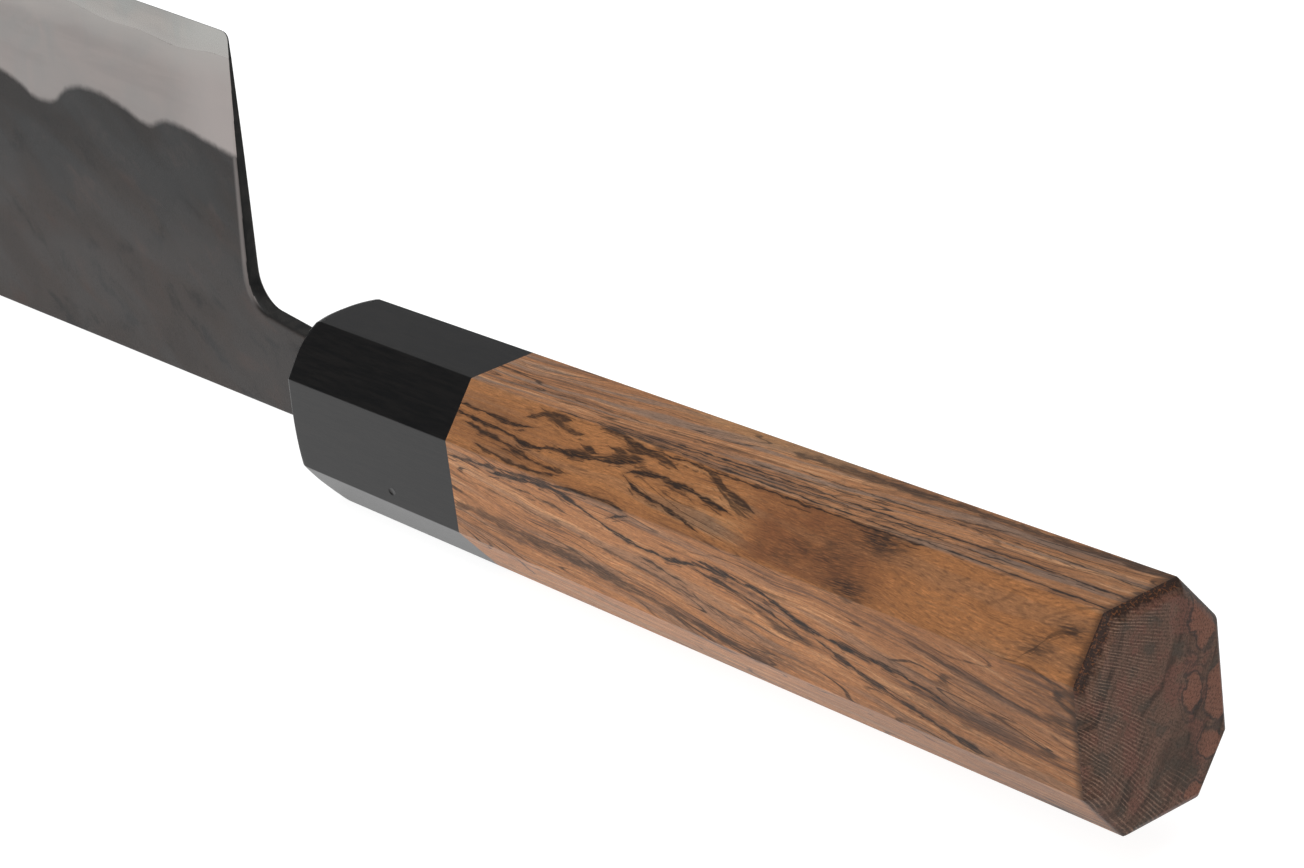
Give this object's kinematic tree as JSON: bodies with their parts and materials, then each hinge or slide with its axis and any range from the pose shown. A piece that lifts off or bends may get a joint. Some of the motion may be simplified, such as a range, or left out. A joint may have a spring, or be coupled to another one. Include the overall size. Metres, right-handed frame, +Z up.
{
  "type": "gyuto knife",
  "caption": "Chef's knife with a laminated carbon steel blade, dark forge scale on its cheeks, a black horn ferrule and an octagonal figured wood handle.",
  "frame": {"origin": "middle of the object's box, at the height of the table it rests on", "axes": "+X from the butt towards the tip, +Y towards the right side of the blade, which is the side in the picture, +Z up, from the spine towards the cutting edge. The knife stands edge up on the lower front of its ferrule and the spine of its blade, so its axis slopes down towards the tip by 2.77 degrees."},
  "size_m": [0.4042, 0.0214, 0.0592],
  "materials": {
    "core_steel": "fine satin, bright",
    "cladding": "dark forge scale on the cheeks, satin ground band towards the edge",
    "horn": "black horn, satin polished",
    "figured_wood": "oiled, brown with dark figure",
    "dowel_wood": "plain pale wood, hidden",
    "bedding": "cured bedding, hidden",
    "seal": "dark filler in the mouth of the ferrule"
  },
  "bodies": {
    "root": {"core_steel": "core_steel", "cladding_right": "cladding", "cladding_left": "cladding", "ferrule": "horn", "handle_body": "figured_wood", "dowel": "dowel_wood", "tang_bedding": "bedding", "mouth_seal": "seal"}
  },
  "joints": []
}
